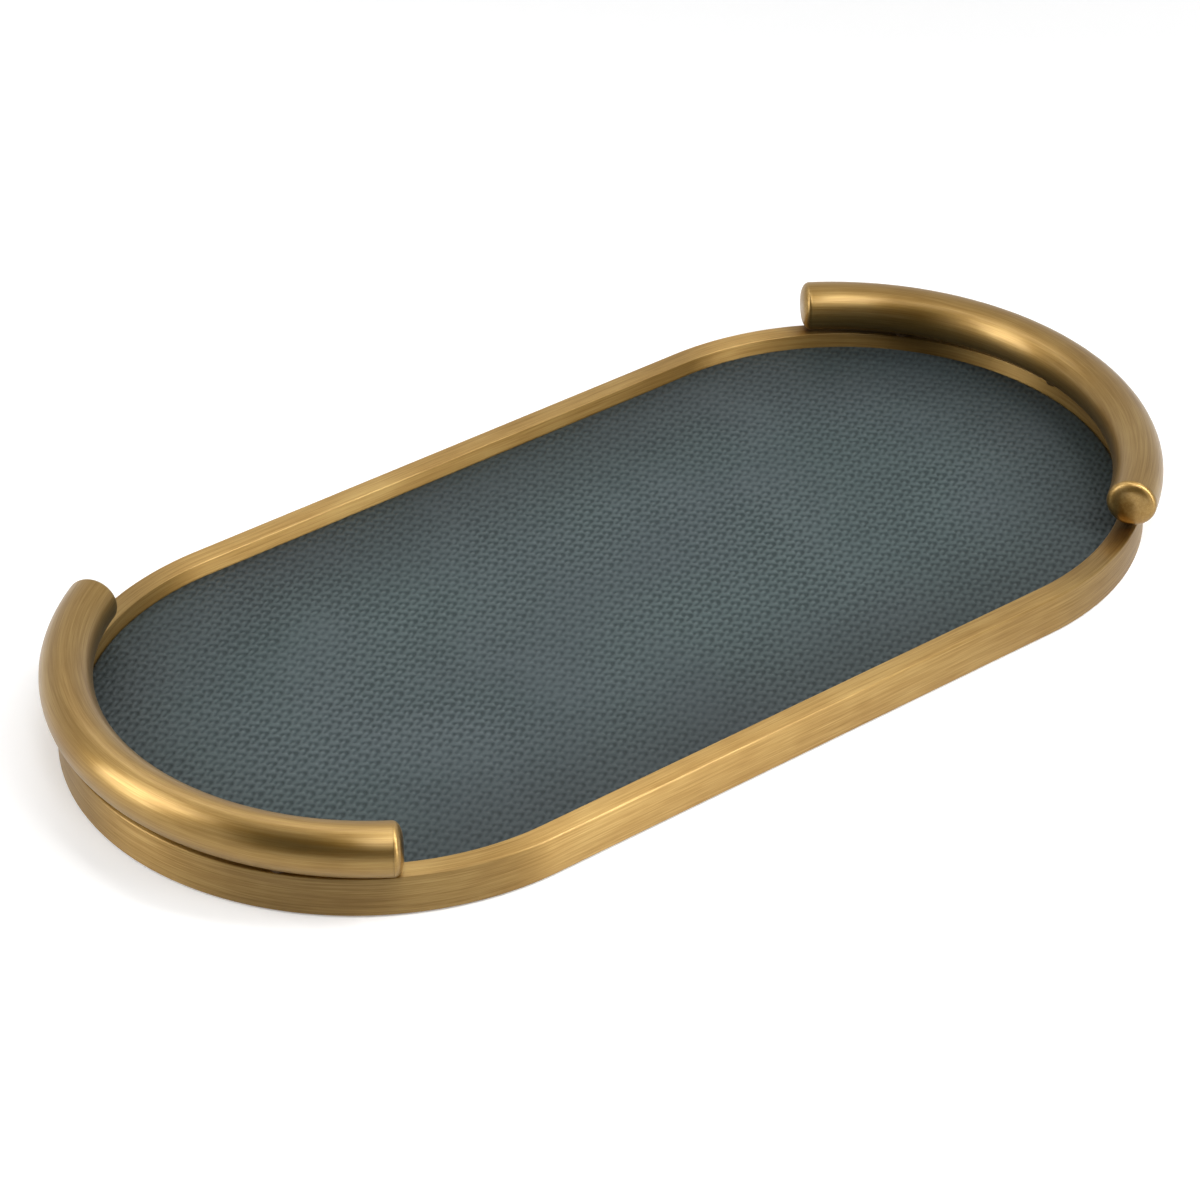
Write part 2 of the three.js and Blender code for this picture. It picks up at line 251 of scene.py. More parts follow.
def brushed_brass(name, half_run, grain, roughness, spread, streaking, bare_roughness, bare_spread):
    """Toned brass, brushed along a bar that runs straight for half_run and then bends round."""
    material, tree, shader, node = new_material(name, BRASS)
    place = node("ShaderNodeTexCoord").outputs["Object"]
    x, y, z = node("ShaderNodeSeparateXYZ", {0: place}).outputs
    beyond, reach = from_spine(node, x, y, half_run)
    along_x = calculate(node, "MULTIPLY", y, -1.0)
    along_y = calculate(node, "MULTIPLY", beyond, calculate(node, "SIGN", x))
    along = node("ShaderNodeCombineXYZ", {0: along_x, 1: along_y}).outputs[0]
    tangent = node("ShaderNodeVectorMath", {0: along}, operation="NORMALIZE")

    def streaks(length, width):
        across = node("ShaderNodeCombineXYZ", {0: calculate(node, "DIVIDE", x, length),
                                               1: calculate(node, "DIVIDE", y, length),
                                               2: calculate(node, "DIVIDE", reach, width)})
        made = node("ShaderNodeTexNoise", {"Vector": across.outputs[0],
                                           "W": calculate(node, "DIVIDE", z, width),
                                           "Scale": 1.0, "Detail": STREAK_DETAIL, "Roughness": 0.6},
                    noise_dimensions="4D")
        return made.outputs["Fac"]

    fine = streaks(STREAK_LENGTH, grain)
    broad = streaks(BROAD_STREAK_LENGTH, BROAD_STREAK_WIDTH)
    cloud = node("ShaderNodeTexNoise", {"Vector": place, "Scale": 28.0, "Detail": 3.0, "Roughness": 0.55})
    mixed = blend(node, (broad, BROAD_SHARE), (fine, FINE_SHARE), (cloud.outputs["Fac"], CLOUD_SHARE))
    swing = calculate(node, "MULTIPLY", calculate(node, "SUBTRACT", mixed, MIDDLE_TONE), streaking)
    tone = calculate(node, "ADD", swing, MIDDLE_TONE)
    colour = ramp(node, tone, [(0.36, BRASS_DULL), (0.50, BRASS), (0.66, BRASS_WORN)])
    tree.links.new(colour, shader.inputs["Base Color"])
    shader.inputs["Metallic"].default_value = 1.0
    finish = node("ShaderNodeMapRange", {"Value": tone, "From Min": 0.35, "From Max": 0.65,
                                         "To Min": roughness + POLISH_SWING,
                                         "To Max": roughness - POLISH_SWING})
    tree.links.new(finish.outputs[0], shader.inputs["Roughness"])
    shader.inputs["Anisotropic"].default_value = spread
    shader.inputs["Anisotropic Rotation"].default_value = QUARTER_TURN
    shader.inputs["Coat Weight"].default_value = 0.15
    shader.inputs["Coat Roughness"].default_value = 0.20
    tree.links.new(tangent.outputs[0], shader.inputs["Tangent"])
    lines = node("ShaderNodeBump", {"Height": fine, "Strength": 0.16, "Distance": 0.0001})
    tree.links.new(lines.outputs[0], shader.inputs["Normal"])
    bare = node("ShaderNodeBsdfPrincipled", {"Base Color": BARE_BRASS, "Metallic": 1.0,
                                             "Roughness": bare_roughness, "Anisotropic": bare_spread,
                                             "Anisotropic Rotation": QUARTER_TURN,
                                             "Tangent": tangent.outputs[0], "Normal": lines.outputs[0]})
    share = node("ShaderNodeMapRange", {"Value": tone, "From Min": 0.36, "From Max": 0.64,
                                        "To Min": 0.05, "To Max": 0.18})
    both = node("ShaderNodeMixShader", {0: share.outputs[0], 1: shader.outputs[0], 2: bare.outputs[0]})
    tree.links.new(both.outputs[0], tree.nodes["Material Output"].inputs["Surface"])
    return material


rim_brass = brushed_brass("rim_brass", HALF_RUN, grain=0.00022, roughness=0.48, spread=0.92,
                          streaking=0.9, bare_roughness=0.40, bare_spread=0.96)

rim_section = rounded([
    (0.0, RIM_BOTTOM, RIM_EDGE),
    (0.0, RIM_TOP, RIM_EDGE),
    (-RIM_WALL, RIM_TOP, RIM_INNER_EDGE),
    (-RIM_WALL, LEDGE_TOP, LEDGE_EDGE),
    (-LEDGE_REACH, LEDGE_TOP, LEDGE_EDGE),
    (-LEDGE_REACH, LEDGE_BOTTOM, LEDGE_EDGE),
    (-RIM_FOOT_WALL, LEDGE_BOTTOM, LEDGE_EDGE),
    (-RIM_FOOT_WALL, RIM_BOTTOM, LEDGE_EDGE),
], EDGE_STEPS)


def sweep_rim(node, sizes):
    """The section, drawn as the object's own edges, is carried round a pill outline."""
    ring = node("GeometryNodeCurvePrimitiveCircle", {"Resolution": sizes["Path points"],
                                                     "Radius": sizes["End radius"]})
    spot = node("ShaderNodeSeparateXYZ", {0: node("GeometryNodeInputPosition").outputs[0]})
    side = calculate(node, "SIGN", spot.outputs[0])
    offset = node("ShaderNodeCombineXYZ", {0: calculate(node, "MULTIPLY", side, sizes["Half run"])})
    pill = node("GeometryNodeSetPosition", {"Geometry": ring.outputs[0], "Offset": offset.outputs[0]})
    upright = node("GeometryNodeSetCurveNormal", {"Curve": pill.outputs[0]}, mode="Z_UP")
    section = node("GeometryNodeMeshToCurve", {"Mesh": sizes["Geometry"]})
    swept = node("GeometryNodeCurveToMesh", {"Curve": upright.outputs[0],
                                             "Profile Curve": section.outputs[0]})
    return swept.outputs[0]


section_object = new_mesh_object(
    "rim_section", [(p.x, -p.y, 0) for p in rim_section], [],
    [(i, (i + 1) % len(rim_section)) for i in range(len(rim_section))])
rim_sweep = add_tree(section_object, "rim_sweep", sweep_rim,
                     {"End radius": END_RADIUS, "Half run": HALF_RUN, "Path points": PATH_POINTS}, rim_brass)

BORE_SIDES = 32
RIM_BORE_RADIUS = 0.0018
COUNTERBORE_RADIUS = 0.0028
COUNTERBORE_TOP = RIM_BOTTOM + 0.0025
LEDGE_BORE_RADIUS = 0.0018
SINKING_RADIUS = 0.0031
SINKING_BOTTOM = LEDGE_BOTTOM + 0.0002
SINKING_TOP = LEDGE_BOTTOM + 0.0016
RIM_CUT = (RIM_BOTTOM - 0.001, RIM_TOP + 0.001)
LEDGE_CUT = (LEDGE_BOTTOM - 0.0005, LEDGE_TOP + 0.0005)


def turned(profile, sides, place):
    """Vertices and faces of a closed shape turned about Z; the profile starts and ends on the axis."""
    vertices = [place @ Vector((0, 0, profile[0][1]))]
    for radius, height in profile[1:-1]:
        for k in range(sides):
            angle = 2 * pi * k / sides
            vertices.append(place @ Vector((radius * cos(angle), radius * sin(angle), height)))
    vertices.append(place @ Vector((0, 0, profile[-1][1])))
    faces = [(0, 1 + (k + 1) % sides, 1 + k) for k in range(sides)]
    for ring in range(len(profile) - 3):
        low = 1 + ring * sides
        for k in range(sides):
            n = (k + 1) % sides
            faces.append((low + k, low + n, low + sides + n, low + sides + k))
    low = 1 + (len(profile) - 3) * sides
    last = len(vertices) - 1
    faces += [(last, low + k, low + (k + 1) % sides) for k in range(sides)]
    return vertices, faces


def joined(name, shapes):
    vertices, faces = [], []
    for more_vertices, more_faces in shapes:
        start = len(vertices)
        vertices += more_vertices
        faces += [tuple(start + i for i in face) for face in more_faces]
    return new_mesh_object(name, vertices, faces)


def middle(node):
    low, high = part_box(node)
    return (low + high) / 2


def bored(source, name, shapes):
    """A plain mesh of the source with the turned shapes cut out of it."""
    cutters = joined(name + "_cutters", shapes)
    modifier = source.modifiers.new("bores", "BOOLEAN")
    modifier.operation = "DIFFERENCE"
    modifier.solver = "EXACT"
    modifier.object = cutters
    piece = finished(source, name, [modifier])
    bpy.data.objects.remove(cutters)
    return piece


handle_screws = [f"handle_{side}_screw_{n}" for side in ("right", "left") for n in (1, 2, 3)]
board_screws = [f"board_screw_{n}" for n in range(1, 9)]
rim_bores = []
for screw in handle_screws:
    spot = middle(screw)
    rim_bores.append(turned([
        (0, RIM_CUT[0]), (COUNTERBORE_RADIUS, RIM_CUT[0]), (COUNTERBORE_RADIUS, COUNTERBORE_TOP),
        (RIM_BORE_RADIUS, COUNTERBORE_TOP), (RIM_BORE_RADIUS, RIM_CUT[1]), (0, RIM_CUT[1]),
    ], BORE_SIDES, Matrix.Translation((spot.x, spot.y, 0))))
for screw in board_screws:
    spot = middle(screw)
    rim_bores.append(turned([
        (0, LEDGE_CUT[0]), (SINKING_RADIUS, LEDGE_CUT[0]), (SINKING_RADIUS, SINKING_BOTTOM),
        (LEDGE_BORE_RADIUS, SINKING_TOP), (LEDGE_BORE_RADIUS, LEDGE_CUT[1]), (0, LEDGE_CUT[1]),
    ], BORE_SIDES, Matrix.Translation((spot.x, spot.y, 0))))
rim_bar = finished(section_object, "rim_bar", [rim_sweep])
rim = bored(rim_bar, "rim", rim_bores)
smooth(rim, EDGE_ANGLE)
dress(rim, rim_brass, "brass", "rim_frame")


# Deck board. A stiff fibreboard panel that lies on the rim's ledge and is hidden by
# the leather; its step fills the opening in the ledge. The modelled solid is used as
# it is, in pressed brown fibre.
FIBREBOARD = (0.335, 0.205, 0.105, 1)
FIBREBOARD_DARK = (0.215, 0.125, 0.060, 1)
FIBREBOARD_PALE = (0.430, 0.285, 0.160, 1)


def pressed_fibre():
    material, tree, shader, node = new_material("deck_fibreboard", FIBREBOARD)
    place = node("ShaderNodeTexCoord").outputs["Object"]
    fibres = node("ShaderNodeTexNoise", {"Vector": place, "Scale": 900.0, "Detail": 4.0, "Roughness": 0.7})
    clumps = node("ShaderNodeTexNoise", {"Vector": place, "Scale": 130.0, "Detail": 2.0})
    tone = blend(node, (fibres.outputs["Fac"], 0.6), (clumps.outputs["Fac"], 0.4))
    colour = ramp(node, tone, [(0.35, FIBREBOARD_DARK), (0.5, FIBREBOARD), (0.68, FIBREBOARD_PALE)])
    tree.links.new(colour, shader.inputs["Base Color"])
    shader.inputs["Roughness"].default_value = 0.85
    pores = node("ShaderNodeBump", {"Height": fibres.outputs["Fac"], "Strength": 0.3, "Distance": 0.0002})
    tree.links.new(pores.outputs[0], shader.inputs["Normal"])
    return material


def finish_node(name, material):
    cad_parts[name].data.materials.clear()
    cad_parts[name].data.materials.append(material)


finish_node("deck_board", pressed_fibre())


# Deck leather. Slate grey-green leather, embossed with a close woven grain: hooked
# dimples in staggered rows. It is glued over the board and turned down round its edge,
# so the edge shows as a soft roll inside the rim.
leather_low, leather_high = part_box("deck_leather")
LEATHER_TOP = leather_high.z
LEATHER_BOTTOM = leather_low.z
LEATHER_INSET = END_RADIUS - leather_high.y
LEATHER_THICKNESS = LEATHER_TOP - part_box("deck_board")[1].z
LEATHER_ROLL = 0.0009
ROLL_STEPS = 5
ROLL_FADE = 0.0012
ROLL_WEAVE = 0.15
LEATHER_TUCK = 0.0001
BAND_WIDTH = 0.0005
WEAVE_LENGTH = 0.00417
WEAVE_WIDTH = 0.00500
WEAVE_LEAN_ALONG = 0.00007
WEAVE_LEAN_ACROSS = -0.00024
WEAVE_DEPTH = 0.00030
WEAVE_LAND = 0.85
WEAVE_DRIFT = 0.0018
# Grid cells in one repeat of the grain, and spare ones past the ends
GRID_ALONG = 5
GRID_ACROSS = 6
GRID_SPARE = 12
# Points round the whole outline, and how many of them lie on each straight run
OUTLINE_POINTS = 600
STRAIGHT_POINTS = 100
CLOSEST_POINTS = 1e-7
SMALLEST_AREA = 1e-14
# Each dimple of a repeat: place, slant, half length and radius in metres, and depth as a
# share; the last two, with depths below nothing, are raised pads
DIMPLES = [
    (0.484, 0.474, radians(41), 0.00073, 0.00068, 0.58),
    (0.114, 0.776, radians(33), 0.00054, 0.00074, 0.70),
    (0.991, 0.233, radians(30), 0.00071, 0.00060, 0.54),
    (0.491, 0.582, radians(-83), 0.00063, 0.00066, 0.32),
    (0.129, 0.458, radians(115), 0.00047, 0.00065, -0.28),
    (0.902, 0.788, radians(-72), 0.00019, 0.00060, -0.36),
]

# Grain colours: dark in the dimples, pale on the pads; partly the leather's own tone, and partly painted
# shade in the dimples and painted light on the pads.
LEATHER_RIDGE = (0.062, 0.083, 0.084, 1)
LEATHER_MID = (0.035, 0.051, 0.053, 1)
LEATHER_PIT = (0.018, 0.028, 0.029, 1)
LEATHER_GREY_CAST = (1.0, 0.97, 1.0, 1)
LEATHER_GREEN_CAST = (0.96, 1.0, 0.985, 1)
# Painted light and shade on the leather: its colour is lifted along the middle line and darkened towards the
# edge; the fall begins this far out from the middle line.
PAINTED_SHADE_REACH = 0.03


def pill_outline(inset, count, straight=0):
    """Points round a pill outline, spaced evenly round each end and along each straight run."""
    radius = END_RADIUS - inset
    points = []
    half = count // 2 - straight
    for side in (1, -1):
        for k in range(half):
            angle = pi * k / (half - 1) - side * pi / 2
            points.append((side * HALF_RUN + radius * cos(angle), radius * sin(angle)))
        points += [(side * HALF_RUN * (1 - 2 * k / (straight + 1)), side * radius)
                   for k in range(1, straight + 1)]
    return points


def inset_of(x, y):
    return END_RADIUS - sqrt(max(abs(x) - HALF_RUN, 0) ** 2 + y * y)


def in_weave(x, y):
    """The place in repeats of the grain, whose rows lean a little on the hide."""
    span = WEAVE_LENGTH * WEAVE_WIDTH - WEAVE_LEAN_ALONG * WEAVE_LEAN_ACROSS
    return ((x * WEAVE_WIDTH - y * WEAVE_LEAN_ACROSS) / span,
            (y * WEAVE_LENGTH - x * WEAVE_LEAN_ALONG) / span)


def weave_level(x, y):
    """Height of the embossed grain, 1 on the highest pads and near 0 in the deepest dimples."""
    level = WEAVE_LAND
    row, column = in_weave(x, y)
    for u, v, slant, half, radius, share in DIMPLES:
        dx = ((row - u + 0.5) % 1 - 0.5) * WEAVE_LENGTH
        dy = ((column - v + 0.5) % 1 - 0.5) * WEAVE_WIDTH
        along = max(-half, min(half, dx * cos(slant) + dy * sin(slant)))
        gap = (dx - along * cos(slant)) ** 2 + (dy - along * sin(slant)) ** 2
        level -= share * exp(-gap / radius ** 2)
    return min(level, 1.0)


def leather_height(x, y):
    """Height of the leather's face; the grain dies away towards the rolled edge."""
    inside = min(1.0, max(0.0, (inset_of(x, y) - LEATHER_INSET - LEATHER_ROLL) / ROLL_FADE))
    strength = ROLL_WEAVE + (1 - ROLL_WEAVE) * inside
    return LEATHER_TOP - WEAVE_DEPTH * strength * (1 - weave_level(x, y))


def leather_sheet():
    """A fine grid for the grain, joined by a band of triangles to the rolled and turned down edge."""
    reach_along = ceil((END_RADIUS + HALF_RUN) / WEAVE_LENGTH * GRID_ALONG) + GRID_SPARE
    reach_across = ceil(END_RADIUS / WEAVE_WIDTH * GRID_ACROSS) + GRID_SPARE
    margin = LEATHER_INSET + LEATHER_ROLL + BAND_WIDTH
    inside = {}
    vertices = []
    for j in range(-reach_across, reach_across + 1):
        for i in range(-reach_along, reach_along + 1):
            x = i / GRID_ALONG * WEAVE_LENGTH + j / GRID_ACROSS * WEAVE_LEAN_ACROSS
            y = j / GRID_ACROSS * WEAVE_WIDTH + i / GRID_ALONG * WEAVE_LEAN_ALONG
            if inset_of(x, y) > margin:
                inside[i, j] = len(vertices)
                vertices.append((x, y, leather_height(x, y)))
    faces = []
    cells = set()
    for i, j in inside:
        corners = [(i, j), (i + 1, j), (i + 1, j + 1), (i, j + 1)]
        if all(corner in inside for corner in corners):
            cells.add((i, j))
            faces.append(tuple(inside[corner] for corner in corners))
    used = {}
    for face in faces:
        for k in range(4):
            pair = (face[k], face[(k + 1) % 4])
            used[tuple(sorted(pair))] = used.get(tuple(sorted(pair)), 0) + 1
    border = [pair for pair, count in used.items() if count == 1]
    border_points = sorted({i for pair in border for i in pair})
    top_ring = list(range(len(vertices), len(vertices) + OUTLINE_POINTS))
    for x, y in pill_outline(LEATHER_INSET + LEATHER_ROLL, OUTLINE_POINTS, STRAIGHT_POINTS):
        vertices.append((x, y, leather_height(x, y)))
    band = border_points + top_ring
    number = {vertex: k for k, vertex in enumerate(band)}
    edges = [(number[a], number[b]) for a, b in border]
    edges += [(number[a], number[b]) for a, b in zip(top_ring, top_ring[1:] + top_ring[:1])]
    _, _, triangles, origins, _, _ = delaunay_2d_cdt(
        [Vector(vertices[k][:2]) for k in band], edges, [], 0, CLOSEST_POINTS)
    for triangle in triangles:
        corners = [band[origins[k][0]] for k in triangle]
        x = sum(vertices[k][0] for k in corners) / 3
        y = sum(vertices[k][1] for k in corners) / 3
        row, column = in_weave(x, y)
        if (int(row * GRID_ALONG // 1), int(column * GRID_ACROSS // 1)) in cells:
            continue
        a, b, c = [Vector(vertices[k][:2]) for k in corners]
        area = (b - a).cross(c - a)
        if abs(area) > SMALLEST_AREA:
            faces.append(tuple(corners if area > 0 else corners[::-1]))
    ring = top_ring
    rings = []
    for k in range(1, ROLL_STEPS + 1):
        angle = pi / 2 * k / ROLL_STEPS
        rings.append((LEATHER_INSET + LEATHER_ROLL * (1 - sin(angle)),
                      LEATHER_TOP - LEATHER_ROLL * (1 - cos(angle))))
    rings += [(LEATHER_INSET, LEATHER_BOTTOM + LEATHER_TUCK),
              (LEATHER_INSET + LEATHER_TUCK, LEATHER_BOTTOM),
              (LEATHER_INSET + LEATHER_THICKNESS, LEATHER_BOTTOM),
              (LEATHER_INSET + LEATHER_THICKNESS, LEATHER_TOP - LEATHER_THICKNESS)]
    for inset, height in rings:
        lower = list(range(len(vertices), len(vertices) + OUTLINE_POINTS))
        vertices += [(x, y, height) for x, y in pill_outline(inset, OUTLINE_POINTS, STRAIGHT_POINTS)]
        for k in range(OUTLINE_POINTS):
            n = (k + 1) % OUTLINE_POINTS
            faces.append((ring[k], lower[k], lower[n], ring[n]))
        ring = lower
    faces.append(tuple(reversed(ring)))
    made = new_mesh_object("leather", vertices, faces)
    shape = bmesh.new()
    shape.from_mesh(made.data)
    bmesh.ops.delete(shape, geom=[v for v in shape.verts if not v.link_faces], context="VERTS")
    shape.to_mesh(made.data)
    shape.free()
    return made


def embossed_leather():
    material, tree, shader, node = new_material("deck_leather", LEATHER_MID)
    place = node("ShaderNodeTexCoord").outputs["Object"]
    row_x, column_x = in_weave(1, 0)
    row_y, column_y = in_weave(0, 1)
    drift = node("ShaderNodeTexNoise", {"Vector": place, "Scale": 160.0, "Detail": 1.0})
    shift = node("ShaderNodeVectorMath", {0: drift.outputs["Color"], 1: (0.5, 0.5, 0.5)},
                 operation="SUBTRACT").outputs[0]
    stretched = node("ShaderNodeVectorMath", {0: shift, 1: (WEAVE_DRIFT, WEAVE_DRIFT, 0), 2: place},
                     operation="MULTIPLY_ADD").outputs[0]
    row_way = (row_x * WEAVE_LENGTH, row_y * WEAVE_LENGTH, 0)
    column_way = (column_x * WEAVE_WIDTH, column_y * WEAVE_WIDTH, 0)
    row, column = [
        node("ShaderNodeVectorMath", {0: stretched, 1: way}, operation="DOT_PRODUCT").outputs["Value"]
        for way in (row_way, column_way)]
    flat = node("ShaderNodeCombineXYZ", {0: row, 1: column}).outputs[0]
    level = WEAVE_LAND
    for u, v, slant, half, radius, share in DIMPLES:
        centre = (u * WEAVE_LENGTH, v * WEAVE_WIDTH, 0)
        direction = (cos(slant), sin(slant), 0)
        away = node("ShaderNodeVectorMath", {0: flat, 1: centre}, operation="SUBTRACT").outputs[0]
        local = node("ShaderNodeVectorMath", {0: away, 1: (WEAVE_LENGTH / 2, WEAVE_WIDTH / 2, 1),
                                              2: (-WEAVE_LENGTH / 2, -WEAVE_WIDTH / 2, -1)},
                     operation="WRAP").outputs[0]
        along = node("ShaderNodeVectorMath", {0: local, 1: direction},
                     operation="DOT_PRODUCT").outputs["Value"]
        clamped = calculate(node, "MAXIMUM", calculate(node, "MINIMUM", along, half), -half)
        spine = node("ShaderNodeVectorMath", {0: direction, "Scale": clamped}, operation="SCALE").outputs[0]
        gap = node("ShaderNodeVectorMath", {0: local, 1: spine}, operation="DISTANCE").outputs["Value"]
        ratio = calculate(node, "DIVIDE", gap, radius)
        squared = calculate(node, "MULTIPLY", ratio, ratio)
        bell = calculate(node, "EXPONENT", calculate(node, "MULTIPLY", squared, -1.0))
        level = calculate(node, "SUBTRACT", level, calculate(node, "MULTIPLY", bell, share))
    press = node("ShaderNodeTexNoise", {"Vector": place, "Scale": 26.0, "Detail": 5.0, "Roughness": 0.72})
    firm = node("ShaderNodeMapRange", {"Value": press.outputs["Fac"], "From Min": 0.3, "From Max": 0.7,
                                       "To Min": 0.62, "To Max": 1.85})
    relief = calculate(node, "MULTIPLY", calculate(node, "SUBTRACT", level, WEAVE_LAND), firm.outputs[0])
    level = calculate(node, "ADD", relief, WEAVE_LAND)
    pores = node("ShaderNodeTexVoronoi", {"Vector": place, "Scale": 2600.0}, feature="SMOOTH_F1")
    cloud = node("ShaderNodeTexNoise", {"Vector": place, "Scale": 22.0, "Detail": 4.0, "Roughness": 0.6})
    speck = node("ShaderNodeTexNoise", {"Vector": place, "Scale": 420.0, "Detail": 3.0, "Roughness": 0.65})
    tone = blend(node, (level, 0.60), (cloud.outputs["Fac"], 0.35), (speck.outputs["Fac"], 0.25))
    # Darker in the dimples and paler on the pads: partly the leather's own tone, partly painted shade and
    # light on the relief.
    colour = ramp(node, tone, [(0.28, LEATHER_PIT), (0.66, LEATHER_MID), (0.98, LEATHER_RIDGE)])
    hide = node("ShaderNodeTexNoise", {"Vector": place, "Scale": 14.0, "Detail": 3.0, "Roughness": 0.55})
    cast = ramp(node, hide.outputs["Fac"], [(0.38, LEATHER_GREY_CAST), (0.62, LEATHER_GREEN_CAST)])
    tinted = node("ShaderNodeMix", {"Factor": 1.0, "A": colour, "B": cast},
                  data_type="RGBA", blend_type="MULTIPLY")
    # Painted light and shade: the colour is scaled up a little near the middle line and down to about half at
    # the edge, in place of the light falling off towards the rim.
    x, y, _ = node("ShaderNodeSeparateXYZ", {0: place}).outputs
    _, reach = from_spine(node, x, y, HALF_RUN)
    painted_edge_shade = node("ShaderNodeMapRange", {"Value": reach, "From Min": PAINTED_SHADE_REACH,
                                         "From Max": END_RADIUS - LEATHER_INSET,
                                         "To Min": 1.06, "To Max": 0.54}, interpolation_type="SMOOTHSTEP")
    shaded = node("ShaderNodeVectorMath", {0: tinted.outputs["Result"], "Scale": painted_edge_shade.outputs[0]},
                  operation="SCALE")
    tree.links.new(shaded.outputs[0], shader.inputs["Base Color"])
    finish = node("ShaderNodeMapRange", {"Value": tone, "From Min": 0.3, "From Max": 0.95,
                                         "To Min": 0.72, "To Max": 0.46})
    tree.links.new(finish.outputs[0], shader.inputs["Roughness"])
    shader.inputs["Specular IOR Level"].default_value = 0.33
    weave = node("ShaderNodeBump", {"Height": level, "Strength": 0.6, "Distance": WEAVE_DEPTH})
    grain = node("ShaderNodeBump", {"Height": pores.outputs["Distance"], "Strength": 0.22,
                                    "Distance": 0.00006, "Normal": weave.outputs[0]})
    tree.links.new(grain.outputs[0], shader.inputs["Normal"])
    return material


leather = leather_sheet()
smooth(leather, angle=50)
dress(leather, embossed_leather(), "leather", "deck_leather")


# Board screws. Eight countersunk steel screws come up through the ledge into the board;
# the lining hides them. The modelled solids are used as they are, in plated steel.
STEEL = (0.42, 0.43, 0.45, 1)
STEEL_DARK = (0.27, 0.28, 0.30, 1)
STEEL_BRIGHT = (0.60, 0.61, 0.62, 1)


def plated_steel():
    material, tree, shader, node = new_material("plated_steel", STEEL)
    place = node("ShaderNodeTexCoord").outputs["Object"]
    cloud = node("ShaderNodeTexNoise", {"Vector": place, "Scale": 600.0, "Detail": 3.0})
    scratch = node("ShaderNodeTexNoise", {"Vector": place, "Scale": 4200.0, "Detail": 2.0})
    colour = ramp(node, cloud.outputs["Fac"], [(0.35, STEEL_DARK), (0.5, STEEL), (0.66, STEEL_BRIGHT)])
    tree.links.new(colour, shader.inputs["Base Color"])
    shader.inputs["Metallic"].default_value = 1.0
    finish = node("ShaderNodeMapRange", {"Value": scratch.outputs["Fac"], "To Min": 0.25, "To Max": 0.45})
    tree.links.new(finish.outputs[0], shader.inputs["Roughness"])
    marks = node("ShaderNodeBump", {"Height": scratch.outputs["Fac"], "Strength": 0.15, "Distance": 0.00005})
    tree.links.new(marks.outputs[0], shader.inputs["Normal"])
    return material


steel = plated_steel()
for screw in board_screws:
    finish_node(screw, steel)


# Underside lining. A dark felt sheet, glued under the rim and board, that hides the
# screws. It stands half a millimetre below the rim, so the tray rests on it.
lining_low, lining_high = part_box("underside_lining")
LINING_INSET = END_RADIUS - lining_high.y
LINING_EDGE = 0.0004
LINING_STEPS = 4

FELT = (0.0165, 0.0185, 0.0200, 1)
FELT_DARK = (0.0080, 0.0090, 0.0100, 1)
FELT_PALE = (0.0420, 0.0450, 0.0470, 1)


def lining_sheet():
    """A sheet with an eased lower edge, built up in rings from its underside."""
    profile = []
    for k in range(LINING_STEPS + 1):
        angle = pi / 2 * k / LINING_STEPS
        profile.append((LINING_INSET + LINING_EDGE * (1 - sin(angle)),
                        lining_low.z + LINING_EDGE * (1 - cos(angle))))
    profile.append((LINING_INSET, lining_high.z))
    vertices, faces, rings = [], [], []
    for inset, height in profile:
        rings.append(list(range(len(vertices), len(vertices) + OUTLINE_POINTS)))
        vertices += [(x, y, height) for x, y in pill_outline(inset, OUTLINE_POINTS, STRAIGHT_POINTS)]
    for lower, upper in zip(rings, rings[1:]):
        for k in range(OUTLINE_POINTS):
            n = (k + 1) % OUTLINE_POINTS
            faces.append((lower[k], lower[n], upper[n], upper[k]))
    faces.append(tuple(reversed(rings[0])))
    faces.append(tuple(rings[-1]))
    return new_mesh_object("lining", vertices, faces)


def felt():
    material, tree, shader, node = new_material("lining_felt", FELT)
    place = node("ShaderNodeTexCoord").outputs["Object"]
    fibres = node("ShaderNodeTexNoise", {"Vector": place, "Scale": 1500.0, "Detail": 4.0, "Roughness": 0.7,
                                         "Distortion": 1.2})
    tufts = node("ShaderNodeTexNoise", {"Vector": place, "Scale": 160.0, "Detail": 3.0})
    tone = blend(node, (fibres.outputs["Fac"], 0.65), (tufts.outputs["Fac"], 0.35))
    colour = ramp(node, tone, [(0.38, FELT_DARK), (0.5, FELT), (0.66, FELT_PALE)])
    tree.links.new(colour, shader.inputs["Base Color"])
    shader.inputs["Roughness"].default_value = 0.95
    shader.inputs["Sheen Weight"].default_value = 0.25
    shader.inputs["Sheen Roughness"].default_value = 0.6
    nap = node("ShaderNodeBump", {"Height": tone, "Strength": 0.5, "Distance": 0.0003})
    tree.links.new(nap.outputs[0], shader.inputs["Normal"])
    return material


lining = lining_sheet()
smooth(lining, angle=40)
dress(lining, felt(), "lining", "underside_lining")


# Handle tubes. Brass tube bent to follow each round end, a hair above the rim, and
# brushed along its length. Holes in its underside take the threaded inserts.
handle_low, handle_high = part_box("handle_right")
TUBE_RADIUS = (handle_high.z - handle_low.z) / 2
TUBE_HEIGHT = (handle_high.z + handle_low.z) / 2
TUBE_WALL = 0.0012
TUBE_BORE = TUBE_RADIUS - TUBE_WALL
BEND_RADIUS = 0.1008
BEND_CENTRE = 0.0985
HALF_ANGLE = radians(56.2)
BORE_OVERRUN = 0.03
INSERT_HOLE = 0.0033
TUBE_SIDES = 72
TUBE_STEPS = 96

handle_brass = brushed_brass("handle_brass", BEND_CENTRE, grain=0.00026, roughness=0.37, spread=0.7,
                             streaking=0.7, bare_roughness=0.28, bare_spread=0.9)


